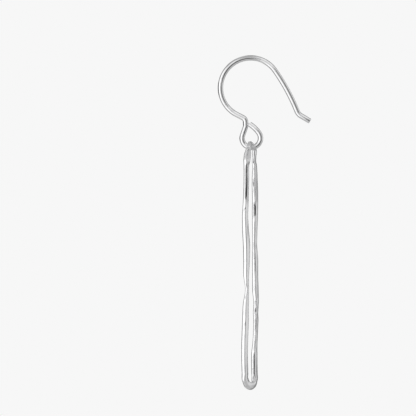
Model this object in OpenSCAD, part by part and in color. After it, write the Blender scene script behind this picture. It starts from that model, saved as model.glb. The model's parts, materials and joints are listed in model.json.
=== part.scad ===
// Bar drop earring: a bent ear wire, and the long slim bar loop that hangs in its eye.
// The origin is the underside of the hook's crest, where the ear carries it. +Z is up.
// The hook lies in the XZ plane and opens towards +X.

/* [Wire] */
// Thickness of the round ear wire
wire_d = 0.8; // [0.6:0.01:1]

/* [Hook] */
// Radius of the bow, to the middle of the wire
bow_r = 4.5; // [3.6:0.1:6]
// Turn of the bow from its crest to the slanted leg, in degrees
bow_front_turn = 55; // [45:1:70]
// Turn of the bow from its crest to the bridge, in degrees
bow_back_turn = 153; // [146:1:160]
// Radius of the slight curve of the slanted leg
leg_r = 30.6; // [22:0.2:60]
// Turn of the slanted leg along its length, in degrees
leg_turn = 13; // [8:1:18]
// Radius of the bend from the leg to the tail
tail_bend_r = 1.4; // [1:0.1:2.5]
// Turn of the bend from the leg to the tail, in degrees
tail_turn = 37; // [25:1:55]
// Length of the straight tail
tail_l = 1.6; // [1:0.1:4]
// Length of the filed rim at the tail's end
tail_file = 0.08; // [0.03:0.01:0.15]

/* [Neck] */
// Length of the straight bridge from the bow to the neck
bridge_l = 1.04; // [0.6:0.02:2]
// Radius of the bend that turns the bridge down
neck_bend_r = 0.7; // [0.5:0.05:1.2]
// Turn of the bend that turns the bridge down, in degrees
neck_bend_turn = 60; // [50:1:68]
// Length of the straight neck
neck_l = 0.46; // [0.3:0.02:1]
// Radius of the crook where the neck meets the eye
crook_r = 1; // [0.6:0.05:1.2]
// Turn of the crook, in degrees
crook_turn = 22; // [16:1:28]
// Length of the straight wire from the crook to the eye
crook_l = 1.26; // [1:0.02:1.6]

/* [Eye] */
// Radius of the eye's round, to the middle of the wire
eye_r = 1.38; // [1.3:0.02:1.8]
// Turn of the eye's round, in degrees
eye_turn = 234; // [228:1:240]
// Turn of the last stretch, which closes the eye against the neck, in degrees
closing_turn = 31; // [22:1:36]
// Gap that stays between the wire's filed end and the neck
closing_gap = 0.02; // [0.01:0.01:0.12]
// Height of the flat that is filed on the wire's end, along the neck
filed_flat = 0.54; // [0.4:0.02:0.7]
// Slope of the shoulder that is filed above the flat, in degrees
filed_slope = 18; // [5:1:30]

/* [Bar loop] */
// Height of the loop, outside
loop_h = 37.3; // [25:0.1:60]
// Width of the loop, outside
loop_w = 4.05; // [3.6:0.05:6]
// Width of the bar, in the plane of the loop
bar_w = 1.2; // [0.9:0.05:1.3]
// Thickness of the bar, across the plane of the loop
bar_t = 0.72; // [0.5:0.02:0.9]
// Angle between the plane of the loop and the edge-on view from the front, in degrees
loop_yaw = 30; // [0:1:40]
// How far the middle of the loop lies to the left of the middle of the eye
loop_shift = 0.16; // [0:0.01:0.3]

/* [Fit] */
// Clearance between the wire of the eye and the crown of the loop
hang_gap = 0.08; // [0.06:0.01:0.15]

/* [Hidden] */
silver = [0.86, 0.86, 0.87];
wire_r = wire_d / 2;
wire_sides = 32;

// The stretches of wire are drawn bend by bend. A bend is a hair thicker than the stretch on either side,
// and the stretch runs a little way into it, so that the whole wire joins as one solid.
bend_swell = 0.002;
let_in = 0.03;

// The hook is walked in its own plane: a place is [x, z, heading in degrees].
// A stretch of wire is [SIZE, TURN]: its radius and turn, or its length and 0 where it is straight.
// A positive turn bends to the left of the heading.
SIZE = 0;
TURN = 1;

function walk(at, run) =
    run[TURN] == 0
    ? [at[0] + run[SIZE] * cos(at[2]), at[1] + run[SIZE] * sin(at[2]), at[2]]
    : let (side = sign(run[TURN]), to = at[2] + run[TURN])
      [
          at[0] + side * run[SIZE] * (sin(to) - sin(at[2])),
          at[1] - side * run[SIZE] * (cos(to) - cos(at[2])),
          to
      ];

function route(at, runs, i = 0) =
    i == len(runs) ? [at] : concat([at], route(walk(at, runs[i]), runs, i + 1));

crest = [0, wire_r];

// From the crest forwards, down the slanted leg to the tail
front_start = [crest[0], crest[1], 0];
front_runs = [
    [bow_r, -bow_front_turn],
    [leg_r, -leg_turn],
    [tail_bend_r, tail_turn]
];
front_route = route(front_start, front_runs);
LEG = 1;
TAIL_BEND = 2;
TAIL = 3;
leg_start = front_route[LEG];

// The whole bow is one bend, drawn from the leg over the crest to the bridge
bow_start = [leg_start[0], leg_start[1], leg_start[2] + 180];
bow_run = [bow_r, bow_front_turn + bow_back_turn];

// From the crest backwards, round the bow, along the bridge and neck and round the eye
back_start = [crest[0], crest[1], 180];
back_runs = [
    [bow_r, bow_back_turn],
    [bridge_l, 0],
    [neck_bend_r, -neck_bend_turn],
    [neck_l, 0],
    [crook_r, -crook_turn],
    [crook_l, 0],
    [eye_r, eye_turn]
];
back_route = route(back_start, back_runs);
BRIDGE = 1;
NECK_BEND = 2;
NECK = 3;
CROOK = 4;
CROOK_END = 5;
EYE = 6;
crook_start = back_route[CROOK];
eye_start = back_route[EYE];
eye_end = back_route[EYE + 1];

// Middle of the eye's round, which is the axis that the loop swings about
eye_x = eye_start[0] - eye_r * sin(eye_start[2]);
eye_z = eye_start[1] + eye_r * cos(eye_start[2]);

// The last stretch is drawn into the neck, and its end is filed flat the closing gap short of it
crook_right = crook_start[0] + crook_r * (1 - cos(crook_start[2] + 90)) + wire_r;
filed_x = crook_right + closing_gap;
end_x = filed_x - wire_r;
closing_chord = (end_x - eye_end[0]) / cos(eye_end[2] + closing_turn / 2);
closing_r = closing_chord / (2 * sin(closing_turn / 2));
closing_run = [closing_r, closing_turn];

// Lowest point of the flat on the wire's end, where the inner side of the last stretch meets it
closing_x = eye_end[0] - closing_r * sin(eye_end[2]);
closing_z = eye_end[1] + closing_r * cos(eye_end[2]);
filed_z = closing_z + sqrt(pow(closing_r - wire_r, 2) - pow(filed_x - closing_x, 2));

// The loop: its sections are read from tables of shares, a row for each section.
// The first column of each table is the place of the row.
half_w = loop_w / 2;
ring_sides = 12;
squareness = 0.5;
rings_per_row = 4;
PLACE = 0;

// Rows of the two bars, from the crown down to the foot
// PLACE: height below the top, as a share of the loop's height
// OUT: outer edge from the middle, as a share of the loop's half width
// WIDE, THICK: shares of the bar's width and thickness
// LEAN: offset across the plane of the loop, as a share of the bar's thickness
OUT = 1;
WIDE = 2;
THICK = 3;
LEAN = 4;

near_rows = [
    [0.040, 0.70, 0.82, 0.80, 0.21],
    [0.058, 0.79, 1.00, 0.98, 0.10],
    [0.078, 0.85, 1.06, 1.02, 0.03],
    [0.100, 0.88, 0.95, 0.95, 0.00],
    [0.160, 0.89, 0.95, 0.94, 0.00],
    [0.220, 0.92, 0.88, 0.90, 0.00],
    [0.300, 1.04, 0.90, 0.92, 0.00],
    [0.360, 1.01, 1.08, 1.06, 0.00],
    [0.410, 0.90, 1.12, 1.08, 0.00],
    [0.480, 0.85, 1.00, 1.00, 0.00],
    [0.540, 0.86, 0.86, 0.88, 0.00],
    [0.595, 0.66, 0.62, 0.60, 0.00],
    [0.650, 0.91, 0.88, 0.92, 0.00],
    [0.720, 1.01, 1.00, 1.02, 0.00],
    [0.800, 1.13, 1.00, 1.02, 0.00],
    [0.860, 1.16, 1.00, 1.00, 0.00],
    [0.930, 1.12, 1.06, 1.06, 0.00]
];

far_rows = [
    [0.040, 0.80, 0.72, 0.74, 0.11],
    [0.058, 0.81, 0.68, 0.70, 0.03],
    [0.078, 0.79, 0.72, 0.72, 0.00],
    [0.100, 0.82, 0.70, 0.72, 0.00],
    [0.160, 0.89, 0.95, 0.96, 0.00],
    [0.220, 0.96, 1.02, 1.00, 0.00],
    [0.300, 0.94, 0.94, 0.94, 0.00],
    [0.360, 0.88, 0.82, 0.82, 0.00],
    [0.410, 0.82, 0.73, 0.74, 0.00],
    [0.480, 0.97, 0.94, 0.94, 0.00],
    [0.540, 1.01, 0.94, 0.95, 0.00],
    [0.600, 1.09, 1.02, 1.00, 0.00],
    [0.650, 1.13, 0.82, 0.82, 0.00],
    [0.720, 1.02, 0.76, 0.76, 0.00],
    [0.800, 0.95, 0.74, 0.76, 0.00],
    [0.860, 0.90, 0.97, 0.98, 0.00],
    [0.930, 0.95, 1.04, 1.04, 0.00]
];

// Rows of the foot, from the near bar to the far one
// PLACE: direction of the outer edge in the plane of the loop, in degrees
// ACROSS, RISE: place of the outer edge, as shares of the loop's half width
// FOOT_WIDE, FOOT_THICK: shares of the bar's width and thickness
ACROSS = 1;
RISE = 2;
FOOT_WIDE = 3;
FOOT_THICK = 4;

foot_rows = [
    [200, -1.05, 0.70, 1.05, 1.05],
    [225, -0.75, 0.31, 1.00, 1.02],
    [250, -0.32, 0.06, 0.97, 1.00],
    [270, 0.16, 0.00, 0.96, 1.00],
    [290, 0.52, 0.07, 0.98, 1.00],
    [315, 0.82, 0.28, 1.00, 1.02],
    [340, 0.97, 0.66, 1.05, 1.05]
];

// Rows of the crown, from the far bar over the wire of the eye to the near one
// PLACE: direction from the wire, in degrees, with the crest at crown_crest
// DRIFT: sideways place from the middle of the eye, as a share of the eye's radius
// CROWN_WIDE, CROWN_THICK: shares of the bar's width and thickness
crown_crest = 90;
DRIFT = 1;
CROWN_WIDE = 2;
CROWN_THICK = 3;

crown_rows = [
    [0, 0.25, 0.52, 0.72],
    [35, 0.10, 0.42, 0.70],
    [65, -0.06, 0.38, 0.68],
    [90, -0.14, 0.36, 0.68],
    [115, -0.18, 0.36, 0.68],
    [145, -0.19, 0.40, 0.70],
    [180, -0.20, 0.48, 0.72]
];

// Smooth reading of a table: a cubic through the rows, in the column that is asked for
function row_before(rows, p, i = 0) =
    i >= len(rows) - 2 || p < rows[i + 1][PLACE] ? i : row_before(rows, p, i + 1);

function slope(rows, i, col) =
    let (a = max(0, i - 1), b = min(len(rows) - 1, i + 1))
    (rows[b][col] - rows[a][col]) / (rows[b][PLACE] - rows[a][PLACE]);

function read(rows, p, col) =
    let (
        i = row_before(rows, p),
        step = rows[i + 1][PLACE] - rows[i][PLACE],
        t = (p - rows[i][PLACE]) / step,
        rise = rows[i + 1][col] - rows[i][col],
        m0 = slope(rows, i, col) * step,
        m1 = slope(rows, i + 1, col) * step
    )
    rows[i][col] + t * m0 + t * t * (3 * rise - 2 * m0 - m1) + t * t * t * (m0 + m1 - 2 * rise);

// Places at which a table is read, evenly between its rows
function stations(rows, parts) =
    [
        for (i = [0 : len(rows) - 2], k = [0 : parts - 1])
            rows[i][PLACE] + (rows[i + 1][PLACE] - rows[i][PLACE]) * k / parts,
        rows[len(rows) - 1][PLACE]
    ];

function flipped(list) = [for (i = [len(list) - 1 : -1 : 0]) list[i]];

function unit(v) = v / norm(v);

// Directions of the loop's plane: across it from the near bar to the far one, and square to it
across = [sin(loop_yaw), cos(loop_yaw), 0];
square_to = [cos(loop_yaw), -sin(loop_yaw), 0];
up = [0, 0, 1];

// Heights of the crown over the wire, of the loop's top and of its foot
crown_in = wire_r + hang_gap;
top_z = eye_z - eye_r + crown_in + bar_w * read(crown_rows, crown_crest, CROWN_WIDE);
foot_z = top_z - loop_h;
middle = [eye_x - loop_shift, 0, 0];

// A section is [centre, direction of its outer edge, half its width, half its thickness]
function bar_section(rows, side, p) =
    let (
        wide = bar_w * read(rows, p, WIDE),
        from_middle = half_w * read(rows, p, OUT) - wide / 2,
        lean = bar_t * read(rows, p, LEAN),
        centre = middle + side * from_middle * across + lean * square_to + (top_z - p * loop_h) * up
    )
    [centre, side * across, wide / 2, bar_t * read(rows, p, THICK) / 2];

function foot_section(p) =
    let (
        wide = bar_w * read(foot_rows, p, FOOT_WIDE),
        outwards = cos(p) * across + sin(p) * up,
        edge = middle + half_w * read(foot_rows, p, ACROSS) * across
            + (foot_z + half_w * read(foot_rows, p, RISE)) * up
    )
    [edge - outwards * wide / 2, outwards, wide / 2, bar_t * read(foot_rows, p, FOOT_THICK) / 2];

function crown_section(p) =
    let (
        wide = bar_w * read(crown_rows, p, CROWN_WIDE),
        drift = eye_r * read(crown_rows, p, DRIFT),
        wire_z = eye_z - sqrt(eye_r * eye_r - drift * drift),
        reach = crown_in + wide / 2,
        outwards = [0, cos(p), sin(p)]
    )
    [
        [eye_x + drift, 0, wire_z] + reach * outwards,
        outwards,
        wide / 2,
        bar_t * read(crown_rows, p, CROWN_THICK) / 2
    ];

loop_sections = concat(
    [for (p = stations(near_rows, rings_per_row)) bar_section(near_rows, -1, p)],
    [for (p = stations(foot_rows, rings_per_row)) foot_section(p)],
    [for (p = flipped(stations(far_rows, rings_per_row))) bar_section(far_rows, 1, p)],
    [for (p = stations(crown_rows, rings_per_row)) crown_section(p)]
);

// Outline of the bar: a rounded rectangle
function rounded(x) = sign(x) * pow(abs(x), squareness);

bar_outline = [
    for (k = [0 : ring_sides - 1])
        let (a = (k + 0.5) * 360 / ring_sides)
        [rounded(cos(a)), rounded(sin(a))]
];

function ring(i) =
    let (
        count = len(loop_sections),
        section = loop_sections[i],
        before = loop_sections[(i + count - 1) % count][0],
        after = loop_sections[(i + 1) % count][0],
        along = unit(after - before),
        outwards = unit(section[1] - (section[1] * along) * along),
        sideways = cross(along, outwards)
    )
    [for (p = bar_outline) section[0] + p[0] * section[2] * outwards + p[1] * section[3] * sideways];

// A closed ring of sections as one solid
module swept_ring(rings) {
    count = len(rings);
    sides = len(rings[0]);
    points = [for (r = rings, p = r) p];
    faces = [
        for (i = [0 : count - 1], k = [0 : sides - 1])
            let (
                a = i * sides + k,
                b = i * sides + (k + 1) % sides,
                c = ((i + 1) % count) * sides + (k + 1) % sides,
                d = ((i + 1) % count) * sides + k
            )
            each [[a, c, b], [a, d, c]]
    ];
    polyhedron(points, faces, convexity = 10);
}

// Puts a child that starts at the origin and heads along +X at a place on the route
module at_place(at) {
    translate([at[0], 0, at[1]]) rotate([0, -at[2], 0]) children();
}

// A straight stretch, let into the bends before and after it
module straight(at, run) {
    at_place(at)
        translate([-let_in, 0, 0])
        rotate([0, 90, 0])
        cylinder(h = run[SIZE] + 2 * let_in, r = wire_r, $fn = wire_sides);
}

// A bend of a wire of radius r, which starts and stops a length before and after its own ends
module bend(at, run, r, before = 0, after = 0) {
    degrees = 180 / (PI * run[SIZE]);
    at_place(at)
        rotate([run[TURN] < 0 ? 180 : 0, 0, 0])
        translate([0, 0, run[SIZE]])
        rotate([90, 0, 0])
        rotate([0, 0, -90 - before * degrees])
        rotate_extrude(angle = abs(run[TURN]) + (before + after) * degrees, $fn = 2 * wire_sides)
        translate([run[SIZE], 0])
        circle(r = r, $fn = wire_sides);
}

// The straight tail, let into its bend, with the rim of its end filed
module tail() {
    at_place(front_route[TAIL])
        rotate([0, 90, 0])
        rotate_extrude($fn = wire_sides)
        polygon([
            [0, -let_in],
            [wire_r, -let_in],
            [wire_r, tail_l - tail_file],
            [wire_r - tail_file, tail_l],
            [0, tail_l]
        ]);
}

// The last stretch of the wire, with its end filed flat along the neck and its shoulder filed down
module closing() {
    file = 2 * wire_d;
    difference() {
        bend(eye_end, closing_run, wire_r, let_in);
        translate([filed_x - file, -file / 2, filed_z - file / 2])
            cube([file, file, 2 * file]);
        translate([filed_x, 0, filed_z + filed_flat])
            rotate([0, -filed_slope, 0])
            translate([-file, -file / 2, 0])
            cube([2 * file, file, file]);
    }
}

module ear_hook() {
    bent_r = wire_r + bend_swell;
    color(silver) union() {
        tail();
        bend(front_route[TAIL_BEND], front_runs[TAIL_BEND], bent_r);
        bend(leg_start, front_runs[LEG], wire_r, let_in, let_in);
        bend(bow_start, bow_run, bent_r);
        for (i = [BRIDGE, NECK, CROOK_END]) straight(back_route[i], back_runs[i]);
        for (i = [NECK_BEND, CROOK, EYE]) bend(back_route[i], back_runs[i], bent_r);
        closing();
    }
}

module bar_loop() {
    color(silver) swept_ring([for (i = [0 : len(loop_sections) - 1]) ring(i)]);
}

ear_hook();
bar_loop();
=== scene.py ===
# Bar drop earring in polished silver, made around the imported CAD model.
# Lengths are in metres and turns in radians where nothing else is said, in the frame of
# the CAD model: the origin is the underside of the hook's crest, and +Z is up.
import json
from math import cos, pi, radians, sin, sqrt
from typing import NamedTuple

import bmesh
import bpy
from bpy.props import FloatProperty, FloatVectorProperty, PointerProperty
from mathutils import Matrix, Vector, noise


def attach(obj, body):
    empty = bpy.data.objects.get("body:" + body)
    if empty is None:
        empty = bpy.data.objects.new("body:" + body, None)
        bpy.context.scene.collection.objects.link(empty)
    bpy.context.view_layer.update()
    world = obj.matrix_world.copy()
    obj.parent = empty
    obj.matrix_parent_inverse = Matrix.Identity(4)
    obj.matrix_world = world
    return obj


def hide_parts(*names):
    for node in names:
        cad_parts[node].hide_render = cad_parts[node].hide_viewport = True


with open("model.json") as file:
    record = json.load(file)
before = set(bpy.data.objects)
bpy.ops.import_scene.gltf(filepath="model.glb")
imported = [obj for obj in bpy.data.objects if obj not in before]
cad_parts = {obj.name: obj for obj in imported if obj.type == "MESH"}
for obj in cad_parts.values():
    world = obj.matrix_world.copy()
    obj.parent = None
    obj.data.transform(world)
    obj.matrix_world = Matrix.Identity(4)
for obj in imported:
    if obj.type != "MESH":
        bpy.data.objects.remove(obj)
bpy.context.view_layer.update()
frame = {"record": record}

bl_info = {
    "name": "Bar Drop Earring",
    "version": (1, 0, 0),
    "blender": (4, 5, 0),
    "location": "3D View > Sidebar > Earring",
    "description": "Models a silver ear hook and the hammered bar loop that hangs in its eye",
    "category": "Add Mesh",
}

MM = 0.001
X, Y, Z = Vector((1, 0, 0)), Vector((0, 1, 0)), Vector((0, 0, 1))

swing = next(j for j in frame["record"]["behaviour"]["joints"] if j["name"] == "drop_swing")
EYE_MIDDLE = Vector(swing["pos_m"])


# Properties

# How far the slider of a length reaches, in times its default
SLIDER_REACH = 3


def length(name, text, default):
    return FloatProperty(
        name=name, description=text, default=default, min=0.0, soft_max=default * SLIDER_REACH,
        precision=5, step=0.001, subtype="DISTANCE", unit="LENGTH",
    )


def turn(name, text, degrees):
    return FloatProperty(
        name=name, description=text, default=radians(degrees), min=0.0, max=2 * pi,
        subtype="ANGLE", unit="ROTATION",
    )


def share(name, text, default):
    return FloatProperty(name=name, description=text, default=default, min=0.0, max=1.0, subtype="FACTOR")


def squareness(name, text, default):
    return FloatProperty(name=name, description=text, default=default, min=2.0, max=20.0)


def colour(name, text, default):
    return FloatVectorProperty(
        name=name, description=text, default=default, min=0.0, max=1.0, size=3, subtype="COLOR",
    )


class HookSizes(bpy.types.PropertyGroup):
    """Sizes of the ear wire"""

    wire: length("Wire thickness", "Thickness of the round ear wire", 0.8 * MM)
    bow_radius: length("Bow radius", "Radius of the bow, to the middle of the wire", 4.5 * MM)
    bow_front: turn("Bow, front", "Turn of the bow from its crest to the slanted leg", 55)
    bow_back: turn("Bow, back", "Turn of the bow from its crest to the bridge", 153)
    leg_radius: length("Leg radius", "Radius of the slight curve of the slanted leg", 30.6 * MM)
    leg_turn: turn("Leg turn", "Turn of the slanted leg along its length", 13)
    tail_bend: length("Tail bend radius", "Radius of the bend from the leg to the tail", 1.4 * MM)
    tail_turn: turn("Tail turn", "Turn of the bend from the leg to the tail", 37)
    tail: length("Tail length", "Length of the straight tail", 1.6 * MM)
    tail_rim: length("Tail rim", "Radius of the rounded rim at the tail's end", 0.14 * MM)
    bridge: length("Bridge length", "Length of the straight bridge from the bow to the neck", 1.04 * MM)
    neck_bend: length("Neck bend radius", "Radius of the bend that turns the bridge down", 0.7 * MM)
    neck_turn: turn("Neck turn", "Turn of the bend that turns the bridge down", 60)
    neck: length("Neck length", "Length of the straight neck", 0.46 * MM)
    crook_radius: length("Crook radius", "Radius of the crook where the neck meets the eye", 1.0 * MM)
    crook_turn: turn("Crook turn", "Turn of the crook", 22)
    crook: length("Crook length", "Length of the straight wire from the crook to the eye", 1.26 * MM)
    eye_radius: length("Eye radius", "Radius of the eye's round, to the middle of the wire", 1.38 * MM)
    eye_turn: turn("Eye turn", "Turn of the eye's round", 234)
    closing_turn: turn("Closing turn", "Turn of the last stretch, which closes the eye", 31)
    closing_gap: length("Closing gap", "Gap between the wire's filed end and the neck", 0.02 * MM)
    filed_flat: length("Filed flat", "Height of the flat on the wire's end, along the neck", 0.54 * MM)
    filed_slope: turn("Filed slope", "Slope of the shoulder that is filed above the flat", 18)
    filed_rim: length("Filed rim", "Radius of the rounded rim of the filed end", 0.05 * MM)


class LoopSizes(bpy.types.PropertyGroup):
    """Sizes of the hammered bar loop"""

    height: length("Height", "Height of the loop, outside", 37.3 * MM)
    width: length("Width", "Width of the loop, outside", 4.05 * MM)
    bar_width: length("Bar width", "Width of the bar, in the plane of the loop", 1.2 * MM)
    bar_thick: length("Bar thickness", "Thickness of the bar, across the plane of the loop", 0.72 * MM)
    yaw: turn("Yaw", "Angle between the plane of the loop and the edge-on view", 30)
    shift: length("Shift", "How far the loop's middle lies to the left of the eye's", 0.16 * MM)
    hang_gap: length("Hang gap", "Clearance between the eye's wire and the crown", 0.08 * MM)
    softness: squareness("Soft ridges", "How square the bar's section is at its soft ridges", 3.2)
    crispness: squareness("Crisp ridges", "How square the bar's section is at its crisp ridges", 8.0)
    snugness: share("Snugness", "Share of the CAD section that the crisper section takes up", 1.0)
    hammering: length("Hammering", "Depth of the hammer marks", 0.026 * MM)


class SilverLook(bpy.types.PropertyGroup):
    """Colours and polish of the silver"""

    bright: colour("Polished silver", "Colour of the polished metal", (0.93, 0.93, 0.935))
    dulled: colour("Dulled silver", "Colour of the metal where the polish has worn", (0.84, 0.84, 0.85))
    # Colour painted into the hollows and seams as shade
    hollow_shade: colour("Hollow shade", "Colour of the film in the seams", (0.30, 0.295, 0.29))
    gloss: share("Polish roughness", "Roughness of the polished metal", 0.07)
    worn: share("Worn roughness", "Roughness of the metal where the polish has worn", 0.2)
    rubbed: colour("Rubbed silver", "Colour of the metal where the two pieces rub", (0.86, 0.86, 0.865))
    rubbed_rough: share("Rubbed roughness", "Roughness of the metal where the two pieces rub", 0.5)


class StageLook(bpy.types.PropertyGroup):
    """Floor, backdrop, light and camera"""

    floor: colour("Floor", "Colour of the floor", (0.9, 0.9, 0.9))
    floor_drop: length("Floor drop", "How far the floor lies below the origin", 90 * MM)
    floor_radius: length("Floor radius", "Radius of the round floor", 400 * MM)
    backdrop: share("Backdrop", "Tone of the plain backdrop", 0.93)
    softbox_height: length("Softbox height", "Height of the softbox above the origin", 1500 * MM)
    softbox_size: length("Softbox size", "Side of the square softbox", 1200 * MM)
    softbox_power: FloatProperty(
        name="Softbox power", description="Power of the softbox over the floor", default=14.5, min=0.0,
        unit="POWER",
    )
    lens: FloatProperty(
        name="Lens", description="Focal length of the camera", default=250.0, min=20.0, unit="CAMERA"
    )
    view_width: length("View width", "Width that the camera takes in at the earring", 62.4 * MM)
    view_middle: FloatVectorProperty(
        name="View middle", description="Point at the middle of the picture",
        default=(-6.366 * MM, 0.0, -22.118 * MM), subtype="TRANSLATION", unit="LENGTH", precision=5,
    )


# Ear hook

# Sides of the round wire
WIRE_SIDES = 40
# Length of wire between two rings in a bend, and the fewest rings that a bend has
STEP = 0.12 * MM
FEWEST_RINGS = 4
# Facets across a rounded rim
RIM_SEGMENTS = 4
# How many stretches of the back of the hook come before the crook
BEFORE_CROOK = 4


class Run(NamedTuple):
    """A stretch of wire: its radius and turn, or its length and a turn of 0"""

    size: float
    turn: float


def ahead(heading):
    return Vector((cos(heading), 0, sin(heading)))


def left(heading):
    return Vector((-sin(heading), 0, cos(heading)))


def bend_middle(place, heading, run):
    """Middle of a bend, which lies to the left when it turns that way"""
    return place + (run.size if run.turn > 0 else -run.size) * left(heading)


def walk(place, heading, run):
    """Where a stretch of wire ends, and its heading there"""
    if run.turn == 0:
        return place + run.size * ahead(heading), heading
    middle = bend_middle(place, heading, run)
    arm = place - middle
    turned = Vector((
        arm.x * cos(run.turn) - arm.z * sin(run.turn), 0, arm.x * sin(run.turn) + arm.z * cos(run.turn),
    ))
    return middle + turned, heading + run.turn


def hook_runs(size):
    """The stretches of the ear wire from its crest to the tail, and back to the eye"""
    front = [
        Run(size.bow_radius, -size.bow_front),
        Run(size.leg_radius, -size.leg_turn),
        Run(size.tail_bend, size.tail_turn),
        Run(size.tail, 0),
    ]
    back = [
        Run(size.bow_radius, size.bow_back),
        Run(size.bridge, 0),
        Run(size.neck_bend, -size.neck_turn),
        Run(size.neck, 0),
        Run(size.crook_radius, -size.crook_turn),
        Run(size.crook, 0),
        Run(size.eye_radius, size.eye_turn),
    ]
    return front, back


def closing_run(size, place, heading, filed_x):
    """The last stretch, which is drawn on into the neck before it is filed off"""
    chord = (filed_x - size.wire / 2 - place.x) / cos(heading + size.closing_turn / 2)
    return Run(chord / (2 * sin(size.closing_turn / 2)), size.closing_turn)


def flat_foot(size, place, heading, run, filed_x):
    """Lowest point of the flat on the wire's end, where the stretch's inner side meets it"""
    middle = bend_middle(place, heading, run)
    return middle.z + sqrt((run.size - size.wire / 2) ** 2 - (filed_x - middle.x) ** 2)


def only(kind, geometry):
    """The parts of one kind in a mixed list"""
    return [g for g in geometry if isinstance(g, kind)]


def draw_run(bm, ring, place, heading, run):
    """Draws the open ring of the wire along one stretch and gives the new ring"""
    if run.turn == 0:
        out = bmesh.ops.extrude_edge_only(bm, edges=ring)["geom"]
        bmesh.ops.translate(bm, verts=only(bmesh.types.BMVert, out), vec=run.size * ahead(heading))
        return [e for e in only(bmesh.types.BMEdge, out) if len(e.link_faces) == 1]
    middle = bend_middle(place, heading, run)
    steps = max(FEWEST_RINGS, round(abs(run.turn) * run.size / STEP))
    out = bmesh.ops.spin(
        bm, geom=ring, cent=middle, axis=Y, angle=-run.turn, steps=steps, use_merge=False,
        use_duplicate=False,
    )
    return only(bmesh.types.BMEdge, out["geom_last"])


def file_flat(bm, kept, point, off):
    """Files the new stretch flat: takes off what lies beyond a plane and closes the cut"""
    stretch = [f for f in bm.faces if f not in kept]
    edges = {e for f in stretch for e in f.edges}
    corners = {v for f in stretch for v in f.verts}
    cut = bmesh.ops.bisect_plane(
        bm, geom=stretch + list(edges) + list(corners), plane_co=point, plane_no=off, clear_outer=True
    )
    return bmesh.ops.contextual_create(bm, geom=only(bmesh.types.BMEdge, cut["geom_cut"]))["faces"][0]


def round_rim(bm, edges, radius):
    """Rounds the sharp edges of a filed or cut end"""
    bmesh.ops.bevel(
        bm, geom=edges, offset=radius, offset_type="OFFSET", segments=RIM_SEGMENTS, profile=0.5,
        affect="EDGES", material=-1, clamp_overlap=True,
    )


def draw_wire(bm, size):
    """Draws the whole ear wire from the tip of its tail to the closed eye"""
    front, back = hook_runs(size)
    crest = Vector((0, 0, size.wire / 2))
    tip, tip_heading = crest, 0.0
    for run in front:
        tip, tip_heading = walk(tip, tip_heading, run)
    crook, crook_heading = crest, pi
    for run in back[:BEFORE_CROOK]:
        crook, crook_heading = walk(crook, crook_heading, run)

    bow, leg, tail_bend, tail = front
    whole_bow = Run(size.bow_radius, size.bow_front + size.bow_back)
    runs = [tail, Run(tail_bend.size, -tail_bend.turn), Run(leg.size, -leg.turn), whole_bow] + back[1:]
    place, heading = tip, tip_heading + pi
    facing = Matrix.Translation(place) @ Matrix.Rotation(pi / 2 - heading, 4, "Y")
    made = bmesh.ops.create_circle(
        bm, cap_ends=False, radius=size.wire / 2, segments=WIRE_SIDES, matrix=facing
    )
    first = ring = list({e for v in made["verts"] for e in v.link_edges})
    for run in runs:
        ring = draw_run(bm, ring, place, heading, run)
        place, heading = walk(place, heading, run)

    filed_x = crook.x + size.crook_radius * (1 - cos(crook_heading + pi / 2)) + size.wire / 2
    filed_x += size.closing_gap
    last = closing_run(size, place, heading, filed_x)
    flat_z = flat_foot(size, place, heading, last, filed_x)
    kept = set(bm.faces)
    draw_run(bm, ring, place, heading, last)
    shoulder = Vector((-sin(size.filed_slope), 0, cos(size.filed_slope)))
    flat = file_flat(bm, kept, Vector((filed_x, 0, 0)), -X)
    slope_face = file_flat(bm, kept, Vector((filed_x, 0, flat_z + size.filed_flat)), shoulder)
    rims = set(flat.edges) | set(slope_face.edges)
    round_rim(bm, list(rims), size.filed_rim)
    tail_end = bmesh.ops.contextual_create(bm, geom=first)["faces"][0]
    round_rim(bm, list(tail_end.edges), size.tail_rim)


# Bar loop

# Rows of the two bars, from the crown down to the foot
# PLACE: height below the top, as a share of the loop's height
# OUT: outer edge from the middle, as a share of the loop's half width
# WIDE, THICK: shares of the bar's width and thickness
# LEAN: offset across the plane of the loop, as a share of the bar's thickness
# TWIST: turn of the section about the upright, in degrees, away from the viewer on the right
# CRISP: how crisp the ridge towards the viewer is, from 0, soft, to 1
PLACE, OUT, WIDE, THICK, LEAN, TWIST, CRISP = range(7)

NEAR_ROWS = (
    (0.040, 0.70, 0.82, 0.80, 0.21, -14, 0.0),
    (0.058, 0.79, 1.00, 0.98, 0.10, -14, 0.0),
    (0.078, 0.85, 1.06, 1.02, 0.03, 0, 0.3),
    (0.100, 0.88, 0.98, 1.02, 0.02, 16, 0.6),
    (0.160, 0.89, 0.98, 1.02, 0.03, 16, 0.6),
    (0.220, 0.92, 0.90, 0.94, 0.01, 10, 0.8),
    (0.272, 0.98, 0.87, 0.89, 0.00, -3, 1.0),
    (0.300, 1.04, 0.90, 0.92, 0.00, 0, 1.0),
    (0.360, 1.01, 1.08, 1.06, 0.00, 3, 1.0),
    (0.410, 0.90, 1.12, 1.08, 0.00, 0, 1.0),
    (0.480, 0.85, 1.00, 1.00, 0.00, 0, 1.0),
    (0.540, 0.86, 0.86, 0.88, 0.00, 2, 1.0),
    (0.595, 0.66, 0.62, 0.60, 0.00, 2, 1.0),
    (0.650, 0.91, 0.88, 0.92, 0.00, 0, 1.0),
    (0.720, 1.01, 1.00, 1.02, 0.00, 0, 1.0),
    (0.800, 1.12, 1.00, 1.03, 0.00, 0, 0.9),
    (0.860, 1.15, 1.01, 1.02, 0.00, 2, 0.6),
    (0.930, 1.12, 1.07, 1.07, 0.02, 6, 0.2),
)

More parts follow.
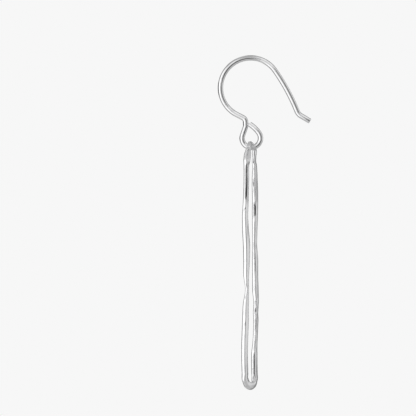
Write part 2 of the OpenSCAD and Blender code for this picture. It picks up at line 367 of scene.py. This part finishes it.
FAR_ROWS = (
    (0.040, 0.80, 0.72, 0.74, 0.11, 0, 0.0),
    (0.058, 0.81, 0.68, 0.70, 0.03, 6, 0.1),
    (0.078, 0.79, 0.72, 0.72, 0.00, 10, 0.5),
    (0.100, 0.82, 0.74, 0.76, 0.12, 5, 0.8),
    (0.160, 0.89, 0.97, 0.97, 0.15, 5, 0.9),
    (0.220, 0.96, 1.00, 0.99, 0.13, 5, 0.9),
    (0.300, 0.94, 0.94, 0.95, 0.10, 3, 1.0),
    (0.360, 0.88, 0.82, 0.83, 0.11, 2, 1.0),
    (0.410, 0.82, 0.74, 0.75, 0.13, 2, 1.0),
    (0.480, 0.97, 0.94, 0.95, 0.10, 3, 1.0),
    (0.540, 1.01, 0.95, 0.96, 0.05, 4, 1.0),
    (0.600, 1.09, 1.02, 1.01, 0.02, 4, 1.0),
    (0.650, 1.13, 0.85, 0.86, 0.04, 5, 1.0),
    (0.692, 1.03, 0.83, 0.85, 0.06, 6, 1.0),
    (0.722, 1.04, 0.83, 0.85, 0.12, 6, 1.0),
    (0.800, 0.95, 0.78, 0.80, 0.06, 5, 1.0),
    (0.860, 0.90, 0.99, 1.00, 0.04, 4, 0.7),
    (0.930, 0.95, 1.05, 1.05, 0.02, 8, 0.2),
)

# Rows of the foot, from the near bar to the far one
# PLACE: direction of the outer edge in the plane of the loop, in degrees
# ACROSS, RISE: place of the outer edge, as shares of the loop's half width
# FOOT_WIDE, FOOT_THICK: shares of the bar's width and thickness
# FOOT_CUT: depth of the hammered flat on the front ridge, as a share of the way to the middle
# FOOT_TURN: turn of the section, in degrees, that tips the face on the viewer's right downwards
ACROSS, RISE, FOOT_WIDE, FOOT_THICK, FOOT_CUT, FOOT_TURN = range(1, 7)

FOOT_ROWS = (
    (200, -1.05, 0.70, 1.05, 1.05, 0.20, -6),
    (225, -0.75, 0.31, 1.00, 1.02, 0.26, 0),
    (250, -0.32, 0.06, 0.97, 1.00, 0.26, 8),
    (270, 0.16, 0.004, 0.96, 1.00, 0.24, 15),
    (290, 0.52, 0.07, 0.98, 1.00, 0.20, 20),
    (315, 0.82, 0.28, 1.00, 1.02, 0.12, 18),
    (340, 0.97, 0.66, 1.05, 1.05, 0.04, 8),
)
# Direction that the foot's flat faces in the bar's section, in degrees
FOOT_FACING = -55

# Rows of the crown, from the far bar over the wire of the eye to the near one
# PLACE: direction from the wire, in degrees
# DRIFT: sideways place from the middle of the eye, as a share of the eye's radius
# CROWN_WIDE, CROWN_THICK: shares of the bar's width and thickness
# CROWN_TURN: turn of the section, in degrees, to the viewer's left in front of the wire
DRIFT, CROWN_WIDE, CROWN_THICK, CROWN_TURN = range(1, 5)
# Direction in which the crown is at its highest
CROWN_CREST = 90

CROWN_ROWS = (
    (0, 0.25, 0.52, 0.72, 0),
    (35, 0.10, 0.42, 0.70, 0),
    (65, -0.06, 0.38, 0.68, 4),
    (90, -0.14, 0.36, 0.68, 10),
    (115, -0.18, 0.36, 0.68, 18),
    (145, -0.19, 0.40, 0.70, 26),
    (180, -0.20, 0.48, 0.72, 28),
)

# Flats that the hammer left along the bars
# FROM, TO: heights below the top, as shares of the loop's height
# TAPER: length over which the flat runs out at each end, as a share of the loop's height
# FACING: direction in the bar's section, in degrees, 0 outwards and -90 to the viewer's right
# CUT: depth, as a share of the way to the middle of the bar
FROM, TO, TAPER, FACING, CUT = range(5)

NEAR_FLATS = (
    (0.020, 0.074, 0.016, -40, 0.26),
    (0.074, 0.258, 0.036, -43, 0.34),
    (0.266, 0.281, 0.006, -53, 0.24),
    (0.564, 0.586, 0.006, -54, 0.22),
    (0.724, 0.748, 0.006, -53, 0.20),
)

FAR_FLATS = (
    (0.066, 0.078, 0.004, -150, 0.10),
    (0.090, 0.235, 0.016, -129, 0.10),
    (0.248, 0.306, 0.005, -129, 0.32),
    (0.314, 0.545, 0.020, -127, 0.17),
    (0.672, 0.696, 0.006, -130, 0.28),
    (0.712, 0.762, 0.008, -131, 0.22),
    (0.796, 0.846, 0.010, -133, 0.17),
    (0.850, 0.958, 0.012, -129, 0.23),
)

# Direction of the ridge towards the viewer in the section of the near bar and of the far one
NEAR_RIDGE, FAR_RIDGE = -pi / 4, -3 * pi / 4
# How sharp the edges of a flat are
FLAT_SHARPNESS = 20
# Rings from a row to the next and in the join of two stretches, and the sides of a ring
RINGS_PER_ROW = 12
JOIN_RINGS = 10
RING_SIDES = 36

# Hammer marks: how many to the millimetre across and along the bar, where the pattern starts,
# and the share that the fine marks add to the broad ones
BROAD_MARKS = Vector((1.3, 1.3, 0.55))
BROAD_START = Vector((3.1, 7.7, 1.9))
FINE_MARKS = Vector((3.1, 3.1, 2.2))
FINE_START = Vector((9.3, 2.2, 5.1))
FINE_SHARE = 0.6


def slope(rows, i, column):
    """Slope of a column at a row, between the rows before and after it"""
    a, b = max(0, i - 1), min(len(rows) - 1, i + 1)
    return (rows[b][column] - rows[a][column]) / (rows[b][PLACE] - rows[a][PLACE])


def read(rows, place, column):
    """Smooth reading of a table: a cubic through the rows, in one column"""
    i = 0
    while i < len(rows) - 2 and place >= rows[i + 1][PLACE]:
        i += 1
    step = rows[i + 1][PLACE] - rows[i][PLACE]
    t = (place - rows[i][PLACE]) / step
    rise = rows[i + 1][column] - rows[i][column]
    m0, m1 = slope(rows, i, column) * step, slope(rows, i + 1, column) * step
    return rows[i][column] + t * m0 + t**2 * (3 * rise - 2 * m0 - m1) + t**3 * (m0 + m1 - 2 * rise)


def stations(rows, parts):
    """Places at which a table is read, evenly between its rows"""
    for row, after in zip(rows, rows[1:]):
        for k in range(parts):
            yield row[PLACE] + (after[PLACE] - row[PLACE]) * k / parts
    yield rows[-1][PLACE]


def smooth_step(x, low, high):
    """Rises smoothly from 0 at low to 1 at high"""
    t = min(1.0, max(0.0, (x - low) / (high - low)))
    return t * t * (3 - 2 * t)


class Section(NamedTuple):
    """Section of the bar

    Its middle, its outward direction, half its width and thickness, its turn, how far it belongs
    to the far bar (0 to 1), how crisp its ridge is, and its flats as pairs of facing and cut.
    """

    centre: Vector
    outwards: Vector
    wide: float
    thick: float
    twist: float
    far_side: float
    crisp: float
    flats: tuple


class LoopShape:
    """Works out the bar's sections from the loop's sizes and the tables"""

    def __init__(self, hook, loop):
        self.loop = loop
        self.hook = hook
        self.across = Vector((sin(loop.yaw), cos(loop.yaw), 0))
        self.square_to = Vector((cos(loop.yaw), -sin(loop.yaw), 0))
        self.crown_in = hook.wire / 2 + loop.hang_gap
        crest = read(CROWN_ROWS, CROWN_CREST, CROWN_WIDE)
        self.top = EYE_MIDDLE.z - hook.eye_radius + self.crown_in + loop.bar_width * crest
        self.foot = self.top - loop.height
        self.middle = Vector((EYE_MIDDLE.x - loop.shift, 0, 0))

    def bar(self, rows, flats, side, place):
        """Section of the near bar (side -1) or the far one (side 1)"""
        loop = self.loop
        wide = loop.bar_width * read(rows, place, WIDE)
        out = loop.width / 2 * read(rows, place, OUT) - wide / 2
        lean = loop.bar_thick * read(rows, place, LEAN)
        centre = self.middle + side * out * self.across + lean * self.square_to
        centre += (self.top - place * loop.height) * Z
        thick = loop.bar_thick * read(rows, place, THICK) / 2
        twist = side * radians(read(rows, place, TWIST))
        there = tuple(
            (radians(f[FACING]), f[CUT] * smooth_step(place, f[FROM], f[FROM] + f[TAPER])
             * smooth_step(-place, -f[TO], f[TAPER] - f[TO]))
            for f in flats if f[FROM] < place < f[TO]
        )
        crisp = read(rows, place, CRISP)
        return Section(centre, side * self.across, wide / 2, thick, twist, (1 + side) / 2, crisp, there)

    def foot_bend(self, place):
        """Section of the foot in one direction from its middle"""
        loop = self.loop
        wide = loop.bar_width * read(FOOT_ROWS, place, FOOT_WIDE)
        outwards = cos(radians(place)) * self.across + sin(radians(place)) * Z
        edge = self.middle + loop.width / 2 * read(FOOT_ROWS, place, ACROSS) * self.across
        edge += (self.foot + loop.width / 2 * read(FOOT_ROWS, place, RISE)) * Z
        thick = loop.bar_thick * read(FOOT_ROWS, place, FOOT_THICK) / 2
        round_foot = smooth_step(place, FOOT_ROWS[0][PLACE], FOOT_ROWS[-1][PLACE])
        twist = radians(read(FOOT_ROWS, place, FOOT_TURN))
        centre, crisp = edge - outwards * wide / 2, NEAR_ROWS[-1][CRISP]
        flats = ((radians(FOOT_FACING), read(FOOT_ROWS, place, FOOT_CUT)),)
        return Section(centre, outwards, wide / 2, thick, twist, round_foot, crisp, flats)

    def crown(self, place):
        """Section of the crown in one direction from the eye's wire"""
        loop, eye_r = self.loop, self.hook.eye_radius
        wide = loop.bar_width * read(CROWN_ROWS, place, CROWN_WIDE)
        drift = eye_r * read(CROWN_ROWS, place, DRIFT)
        wire_z = EYE_MIDDLE.z - sqrt(eye_r**2 - drift**2)
        outwards = Vector((0, cos(radians(place)), sin(radians(place))))
        centre = Vector((EYE_MIDDLE.x + drift, 0, wire_z)) + (self.crown_in + wide / 2) * outwards
        thick = loop.bar_thick * read(CROWN_ROWS, place, CROWN_THICK) / 2
        over = smooth_step(place, CROWN_ROWS[0][PLACE], CROWN_ROWS[-1][PLACE])
        twist = radians(read(CROWN_ROWS, place, CROWN_TURN))
        return Section(centre, outwards, wide / 2, thick, twist, 1 - over, NEAR_ROWS[0][CRISP], ())

    def sections(self):
        """All sections of the loop in order, with a smooth join from each stretch to the next"""
        far_places = reversed(list(stations(FAR_ROWS, RINGS_PER_ROW)))
        stretches = [
            [self.bar(NEAR_ROWS, NEAR_FLATS, -1, p) for p in stations(NEAR_ROWS, RINGS_PER_ROW)],
            [self.foot_bend(p) for p in stations(FOOT_ROWS, RINGS_PER_ROW)],
            [self.bar(FAR_ROWS, FAR_FLATS, 1, p) for p in far_places],
            [self.crown(p) for p in stations(CROWN_ROWS, RINGS_PER_ROW)],
        ]
        found = []
        for stretch, after in zip(stretches, stretches[1:] + stretches[:1]):
            found += stretch + join(stretch[-2:], after[:2], JOIN_RINGS)
        return found


def join(before, after, count):
    """Sections that lead smoothly from the end of one stretch to the start of the next"""
    a, b = before[1], after[0]
    span = (b.centre - a.centre).length
    leave = (a.centre - before[0].centre).normalized() * span
    arrive = (after[1].centre - b.centre).normalized() * span
    found = []
    for k in range(1, count + 1):
        t = k / (count + 1)
        rise = smooth_step(t, 0.0, 1.0)
        centre = a.centre.lerp(b.centre, rise)
        centre += (t**3 - 2 * t**2 + t) * leave + (t**3 - t**2) * arrive
        mixed = [x + (y - x) * rise for x, y in zip(a[2:-1], b[2:-1])]
        outwards = a.outwards.lerp(b.outwards, rise).normalized()
        flats = tuple((facing, cut * (1 - rise)) for facing, cut in a.flats)
        flats += tuple((facing, cut * rise) for facing, cut in b.flats)
        found.append(Section(centre, outwards, *mixed, flats))
    return found


def outline_point(section, turned, loop):
    """Point of the bar's outline in a direction: a rounded rectangle cut by the hammer flats"""
    x, y = section.wide * cos(turned), section.thick * sin(turned)
    far = sqrt(x * x + y * y)
    x, y = x / far, y / far
    near_ridge = (1 - section.far_side) * max(0.0, cos(turned - NEAR_RIDGE)) ** 2
    far_ridge = section.far_side * max(0.0, cos(turned - FAR_RIDGE)) ** 2
    ridge = section.crisp * (near_ridge + far_ridge)
    square = loop.softness + (loop.crispness - loop.softness) * ridge
    inverse = ((abs(x) / section.wide) ** square + (abs(y) / section.thick) ** square) ** (1 / square)
    for facing, cut in section.flats:
        along = max(0.0, x * cos(facing) + y * sin(facing))
        corner = section.wide * abs(cos(facing)) + section.thick * abs(sin(facing))
        cut_back = along / (corner * (1 - cut))
        inverse = (inverse**FLAT_SHARPNESS + cut_back**FLAT_SHARPNESS) ** (1 / FLAT_SHARPNESS)
    return x * loop.snugness / inverse, y * loop.snugness / inverse


def set_ring(ring, sections, i, loop):
    """Moves a ring of corners to its section of the bar"""
    section, count = sections[i], len(sections)
    before, after = sections[i - 1].centre, sections[(i + 1) % count].centre
    along = (after - before).normalized()
    outwards = (section.outwards - section.outwards.dot(along) * along).normalized()
    sideways = along.cross(outwards)
    for k, corner in enumerate(ring):
        x, y = outline_point(section, (k + 0.5) * 2 * pi / len(ring), loop)
        c, t = cos(section.twist), sin(section.twist)
        corner.co = section.centre + (x * c - y * t) * outwards + (x * t + y * c) * sideways


def next_ring(bm, ring):
    """Extrudes a closed ring of corners and gives the new corners in the same order"""
    edges = [bm.edges.get((a, b)) for a, b in zip(ring, ring[1:] + ring[:1])]
    out = bmesh.ops.extrude_edge_only(bm, edges=edges)["geom"]
    new = set(only(bmesh.types.BMVert, out))
    return [next(v for e in c.link_edges for v in e.verts if v in new) for c in ring]


def draw_loop(bm, shape, loop):
    """Draws the bar as rings of corners, extruded from section to section and bridged shut"""
    sections = shape.sections()
    made = bmesh.ops.create_circle(bm, cap_ends=False, radius=loop.bar_width / 2, segments=RING_SIDES)
    first = ring = made["verts"]
    set_ring(ring, sections, 0, loop)
    for i in range(1, len(sections)):
        ring = next_ring(bm, ring)
        set_ring(ring, sections, i, loop)
    open_edges = [e for e in bm.edges if len(e.link_faces) == 1]
    bmesh.ops.bridge_loops(bm, edges=open_edges)


def hammer(bm, depth):
    """Leaves shallow hammer marks in the surface"""
    bm.normal_update()
    for v in bm.verts:
        place = v.co / MM
        broad = noise.noise(place * BROAD_MARKS + BROAD_START)
        fine = noise.noise(place * FINE_MARKS + FINE_START)
        v.co -= v.normal * depth * max(0.0, broad + FINE_SHARE * fine)


def mark_outward_bend(bm):
    """Stores how sharply the surface bends outwards at each corner, for the painted shade in the hollows
    """
    bm.normal_update()
    layer = bm.verts.layers.float.new("outward_bend")
    for v in bm.verts:
        near = [e.other_vert(v).co - v.co for e in v.link_edges]
        v[layer] = -sum(d.normalized().dot(v.normal) for d in near) / len(near)


# Silver

# Dull spots where the pieces rub on each other: the middle and the reach, in mm
HOOK_SPOTS = (((0.36, 0.0, -12.95), 0.75),)
LOOP_SPOTS = (((-0.5, -1.5, -13.9), 1.3), ((-0.05, -0.5, -12.6), 0.95))
# Where a dull spot is dull all through, as a share of its reach
SPOT_CORE = 0.6
# Patterns of the silver, as features to the millimetre
CLOUDS, GRAIN = 1.1, 14.0
SCRATCHES = (9.0, 9.0, 0.9)
# Noise from which the silver starts to be dull, and at which it is
DULL_FROM, DULL_FULL = 0.42, 0.68
# Bend of the surface, as stored at each corner, from which a hollow starts to be painted darker as shade
# and at which it is fully, and how much of the shade's colour it takes
HOLLOW_FROM, HOLLOW_FULL, HOLLOW_SHADE_SHARE = -0.01, -0.08, 0.35
# Shares that the dull clouds and the grain have in the roughness, and their sum from which it grows
CLOUD_SHARE, GRAIN_SHARE, ROUGH_FROM = 0.6, 0.5, 0.1
# Relief of the scratches and of the small dents: strength and height
SCRATCH_RELIEF = (0.12, 0.004 * MM)
DENT_RELIEF = (0.35, 0.03 * MM)
# Small dents to the millimetre, on the wire and on the bar
WIRE_DENTS, BAR_DENTS = 2.0, 1.4
# Corners closer than this are one
MERGE = 0.0005 * MM


class Nodes:
    """Short way to add and join shader nodes"""

    def __init__(self, tree):
        self.tree = tree
        tree.nodes.clear()

    def add(self, kind, **settings):
        node = self.tree.nodes.new(kind)
        for name, value in settings.items():
            setattr(node, name, value)
        return node

    def join(self, source, target):
        self.tree.links.new(source, target)

    def feed(self, socket, value):
        if isinstance(value, bpy.types.NodeSocket):
            self.join(value, socket)
        else:
            socket.default_value = value

    def math(self, operation, a, b=0.0):
        node = self.add("ShaderNodeMath", operation=operation)
        self.feed(node.inputs[0], a)
        self.feed(node.inputs[1], b)
        return node.outputs[0]

    def vector_math(self, operation, a, b=(0.0, 0.0, 0.0)):
        node = self.add("ShaderNodeVectorMath", operation=operation)
        self.feed(node.inputs[0], a)
        self.feed(node.inputs[1], b)
        return node.outputs

    def ramp(self, value, low, high, out_low=0.0, out_high=1.0):
        node = self.add("ShaderNodeMapRange", interpolation_type="SMOOTHSTEP")
        for socket, v in zip(node.inputs, (value, low, high, out_low, out_high)):
            self.feed(socket, v)
        return node.outputs[0]

    def noise(self, vector, scale, detail=3.0, roughness=0.5):
        node = self.add("ShaderNodeTexNoise")
        self.join(vector, node.inputs["Vector"])
        node.inputs["Scale"].default_value = scale
        node.inputs["Detail"].default_value = detail
        node.inputs["Roughness"].default_value = roughness
        return node.outputs["Fac"]

    def stretch(self, vector, scale):
        node = self.add("ShaderNodeMapping")
        self.join(vector, node.inputs["Vector"])
        node.inputs["Scale"].default_value = scale
        return node.outputs["Vector"]

    def mix(self, share, a, b, kind="RGBA"):
        node = self.add("ShaderNodeMix", data_type=kind)
        self.feed(node.inputs["Factor"], share)
        self.feed(node.inputs["A"], a)
        self.feed(node.inputs["B"], b)
        return node.outputs["Result"]

    def bump(self, height, strength, distance, normal=None):
        node = self.add("ShaderNodeBump")
        node.inputs["Strength"].default_value = strength
        node.inputs["Distance"].default_value = distance
        self.join(height, node.inputs["Height"])
        if normal:
            self.join(normal, node.inputs["Normal"])
        return node.outputs["Normal"]


def silver(name, look, dents, spots):
    """Polished silver with fine scratches, dull spots and painted shade in the hollows"""
    material = bpy.data.materials.new(name)
    material.use_nodes = True
    n = Nodes(material.node_tree)
    place = n.add("ShaderNodeTexCoord").outputs["Object"]
    mm = n.stretch(place, (1 / MM, 1 / MM, 1 / MM))
    outward_bend = n.add("ShaderNodeAttribute", attribute_name="outward_bend").outputs["Fac"]
    clouds = n.noise(mm, CLOUDS, detail=4)
    grain = n.noise(mm, GRAIN, detail=2)
    scratches = n.noise(n.stretch(place, [c / MM for c in SCRATCHES]), 1.0, detail=5, roughness=0.6)
    dull = n.ramp(clouds, DULL_FROM, DULL_FULL)
    # Painted shade: hollows and seams are darkened towards the shade colour
    hollow_shade_mask = n.ramp(outward_bend, HOLLOW_FROM, HOLLOW_FULL)
    tone = n.mix(dull, (*look.bright, 1), (*look.dulled, 1))
    tone = n.mix(n.math("MULTIPLY", hollow_shade_mask, HOLLOW_SHADE_SHARE), tone, (*look.hollow_shade, 1))
    dulled = n.math("ADD", n.math("MULTIPLY", dull, CLOUD_SHARE), n.math("MULTIPLY", grain, GRAIN_SHARE))
    rough = n.ramp(dulled, ROUGH_FROM, 1.0, look.gloss, look.worn)
    for centre, reach in spots:
        apart = n.vector_math("DISTANCE", mm, centre)["Value"]
        rubbed = n.ramp(apart, reach, SPOT_CORE * reach)
        tone = n.mix(rubbed, tone, (*look.rubbed, 1))
        rough = n.ramp(rubbed, 0.0, 1.0, rough, look.rubbed_rough)
    normal = n.bump(scratches, *SCRATCH_RELIEF)
    normal = n.bump(n.noise(mm, dents, detail=2), *DENT_RELIEF, normal)
    shader = n.add("ShaderNodeBsdfPrincipled")
    shader.inputs["Metallic"].default_value = 1.0
    n.join(tone, shader.inputs["Base Color"])
    n.join(rough, shader.inputs["Roughness"])
    n.join(normal, shader.inputs["Normal"])
    n.join(shader.outputs["BSDF"], n.add("ShaderNodeOutputMaterial").inputs["Surface"])
    return material


def finish_piece(name, bm, material, body, node):
    """Makes an object of the mesh, rides it on its body and lets it stand for its CAD node"""
    bmesh.ops.remove_doubles(bm, verts=bm.verts, dist=MERGE)
    bmesh.ops.recalc_face_normals(bm, faces=bm.faces)
    mark_outward_bend(bm)
    for face in bm.faces:
        face.smooth = True
    mesh = bpy.data.meshes.new(name)
    bm.to_mesh(mesh)
    bm.free()
    piece = bpy.data.objects.new(name, mesh)
    bpy.context.collection.objects.link(piece)
    mesh.materials.append(material)
    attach(piece, body)
    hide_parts(node)
    return piece


class EARRING_OT_ear_hook(bpy.types.Operator):
    """Bends the ear wire, from the tip of its tail to its closed eye"""

    bl_idname = "earring.ear_hook"
    bl_label = "Ear Hook"

    def execute(self, context):
        scene = context.scene
        bm = bmesh.new()
        draw_wire(bm, scene.earring_hook)
        material = silver("hook_silver_polished", scene.earring_silver, WIRE_DENTS, HOOK_SPOTS)
        finish_piece("ear_wire", bm, material, "hook", "ear_hook")
        return {"FINISHED"}


class EARRING_OT_bar_loop(bpy.types.Operator):
    """Hammers the closed bar loop that hangs in the eye"""

    bl_idname = "earring.bar_loop"
    bl_label = "Bar Loop"

    def execute(self, context):
        scene = context.scene
        bm = bmesh.new()
        draw_loop(bm, LoopShape(scene.earring_hook, scene.earring_loop), scene.earring_loop)
        hammer(bm, scene.earring_loop.hammering)
        material = silver("bar_silver_hammered", scene.earring_silver, BAR_DENTS, LOOP_SPOTS)
        finish_piece("hammered_loop", bm, material, "drop", "bar_loop")
        return {"FINISHED"}


# Stage

# Cards and softboxes of the studio, as the earring sees them: first the name, then
# SIDE: direction round the line of sight, in degrees, 0 right, 90 up, 180 left
# SPREAD: half of how far the card reaches round that line
# INNER, OUTER: where the card starts and ends, in degrees away from the camera
# TONE: its brightness
# A later card covers an earlier one
SIDE, SPREAD, INNER, OUTER, TONE = range(1, 6)

STUDIO_CARDS = (
    ("left rim shade", 180, 62, 94, 168, 0.34),
    ("upright rim shade", 180, 9, 88, 168, 0.05),
    ("right rim shade", 20, 70, 128, 170, 0.24),
    ("upper rim shade", 66, 28, 104, 168, 0.24),
    ("under shade", 298, 33, 84, 168, 0.24),
    ("right fill", 10, 24, 72, 127, 0.70),
    ("top shade", 108, 34, 50, 105, 0.42),
    ("upper shade", 88, 20, 8, 60, 0.46),
    ("left softbox", 190, 48, 16, 71, 1.20),
    ("left wing", 132, 22, 20, 48, 1.05),
    ("lower softbox", 228, 28, 16, 40, 0.98),
    ("upper right fill", 54, 24, 18, 95, 0.84),
    ("leg shade", 24, 16, -20, 70, 0.24),
    ("dark card", 306, 44, 4, 48, 0.12),
    ("dark strip", 335, 19, 38, 64, 0.07),
    ("upright strip", 359, 6, 39, 63, 0.04),
    ("lower shade", 300, 44, 54, 130, 0.50),
    ("camera shade", 0, 200, -20, 9, 0.42),
)
# Brightness of the studio between the cards, and half the width of a card's soft edge, in degrees
SURROUND = 0.62
CARD_EDGE = 9
# Where the backdrop starts behind the earring, and where it is full, in degrees away from the camera
BACKDROP_FROM, BACKDROP_FULL = 160, 174

# Floor: its corners, the darkest share of its colour, its specks to the metre and its roughness
FLOOR_CORNERS = 96
FLOOR_SHADE = 0.97
FLOOR_SPECKS = 900.0
FLOOR_ROUGH = 0.8
# Width of the camera's sensor, in the lens's millimetres, and the nearest that it sees
SENSOR = 36
NEAREST = 10 * MM


def studio_world(look):
    """Plain backdrop for the camera, and a soft studio with shades for the silver to mirror"""
    world = bpy.data.worlds.new("studio")
    world.use_nodes = True
    n = Nodes(world.node_tree)
    sight = n.add("ShaderNodeTexCoord").outputs["Generated"]
    parts = n.add("ShaderNodeSeparateXYZ")
    n.join(sight, parts.inputs[0])
    away = n.math("ARCCOSINE", n.math("MULTIPLY", parts.outputs["Y"], -1.0))
    flat = n.vector_math("MULTIPLY", sight, (1, 0, 1))["Vector"]
    round_sight = n.vector_math("NORMALIZE", flat)["Vector"]
    tone = n.ramp(away, radians(BACKDROP_FROM), radians(BACKDROP_FULL), SURROUND, look.backdrop)
    for card in STUDIO_CARDS:
        toward = n.vector_math("DOT_PRODUCT", round_sight, ahead(radians(card[SIDE])))["Value"]
        low, high = cos(radians(card[SPREAD] + CARD_EDGE)), cos(radians(card[SPREAD] - CARD_EDGE))
        inside = n.ramp(toward, low, high)
        starts = n.ramp(away, radians(card[INNER] - CARD_EDGE), radians(card[INNER] + CARD_EDGE))
        ends = n.ramp(away, radians(card[OUTER] + CARD_EDGE), radians(card[OUTER] - CARD_EDGE))
        inside = n.math("MULTIPLY", inside, n.math("MULTIPLY", starts, ends))
        tone = n.mix(inside, tone, card[TONE], "FLOAT")
    to_camera = n.add("ShaderNodeLightPath").outputs["Is Camera Ray"]
    background = n.add("ShaderNodeBackground")
    n.join(n.mix(to_camera, tone, look.backdrop, "FLOAT"), background.inputs["Color"])
    n.join(background.outputs[0], n.add("ShaderNodeOutputWorld").inputs["Surface"])
    return world


class EARRING_OT_stage(bpy.types.Operator):
    """Lays the floor, lights the studio and sets up the camera"""

    bl_idname = "earring.stage"
    bl_label = "Stage"

    def execute(self, context):
        scene = context.scene
        look = scene.earring_stage
        bm = bmesh.new()
        bmesh.ops.create_circle(
            bm, cap_ends=True, radius=look.floor_radius, segments=FLOOR_CORNERS,
            matrix=Matrix.Translation((0, 0, -look.floor_drop)),
        )
        mesh = bpy.data.meshes.new("floor")
        bm.to_mesh(mesh)
        bm.free()
        floor = bpy.data.objects.new("floor", mesh)
        context.collection.objects.link(floor)
        material = bpy.data.materials.new("pale_floor")
        material.use_nodes = True
        n = Nodes(material.node_tree)
        shader = n.add("ShaderNodeBsdfPrincipled")
        place = n.add("ShaderNodeTexCoord").outputs["Object"]
        speck = n.noise(place, FLOOR_SPECKS)
        shade = tuple(FLOOR_SHADE * c for c in look.floor)
        n.join(n.mix(speck, (*look.floor, 1), (*shade, 1)), shader.inputs["Base Color"])
        shader.inputs["Roughness"].default_value = FLOOR_ROUGH
        n.join(shader.outputs["BSDF"], n.add("ShaderNodeOutputMaterial").inputs["Surface"])
        mesh.materials.append(material)
        # The silver mirrors neither the floor nor the softbox
        floor.visible_glossy = False

        light = bpy.data.lights.new("overhead_softbox", "AREA")
        light.size = look.softbox_size
        light.energy = look.softbox_power
        softbox = bpy.data.objects.new("overhead_softbox", light)
        context.collection.objects.link(softbox)
        softbox.location = look.softbox_height * Z
        softbox.visible_glossy = False

        scene.world = studio_world(look)
        scene.view_settings.view_transform = "Standard"

        camera = bpy.data.objects.new("camera", bpy.data.cameras.new("camera"))
        context.collection.objects.link(camera)
        camera.data.lens = look.lens
        camera.data.sensor_width = SENSOR
        camera.data.clip_start = NEAREST
        away = look.view_width * look.lens / SENSOR
        camera.location = Vector(look.view_middle) - away * Y
        camera.rotation_euler = (pi / 2, 0, 0)
        scene.camera = camera
        return {"FINISHED"}


class EARRING_PT_panel(bpy.types.Panel):
    """Buttons and sizes of the earring"""

    bl_label = "Bar Drop Earring"
    bl_idname = "EARRING_PT_panel"
    bl_space_type = "VIEW_3D"
    bl_region_type = "UI"
    bl_category = "Earring"

    def draw(self, context):
        scene = context.scene
        for group, operator in (
            (scene.earring_hook, EARRING_OT_ear_hook),
            (scene.earring_loop, EARRING_OT_bar_loop),
            (scene.earring_silver, None),
            (scene.earring_stage, EARRING_OT_stage),
        ):
            box = self.layout.box()
            for name in type(group).__annotations__:
                box.prop(group, name)
            if operator:
                box.operator(operator.bl_idname)


GROUPS = {
    "earring_hook": HookSizes,
    "earring_loop": LoopSizes,
    "earring_silver": SilverLook,
    "earring_stage": StageLook,
}
CLASSES = (EARRING_OT_ear_hook, EARRING_OT_bar_loop, EARRING_OT_stage, EARRING_PT_panel)


def register():
    for name, group in GROUPS.items():
        bpy.utils.register_class(group)
        setattr(bpy.types.Scene, name, PointerProperty(type=group))
    for cls in CLASSES:
        bpy.utils.register_class(cls)


def unregister():
    for cls in reversed(CLASSES):
        bpy.utils.unregister_class(cls)
    for name, group in GROUPS.items():
        delattr(bpy.types.Scene, name)
        bpy.utils.unregister_class(group)


def main():
    register()
    bpy.ops.earring.ear_hook()
    bpy.ops.earring.bar_loop()
    bpy.ops.earring.stage()


if __name__ == "__main__":
    main()
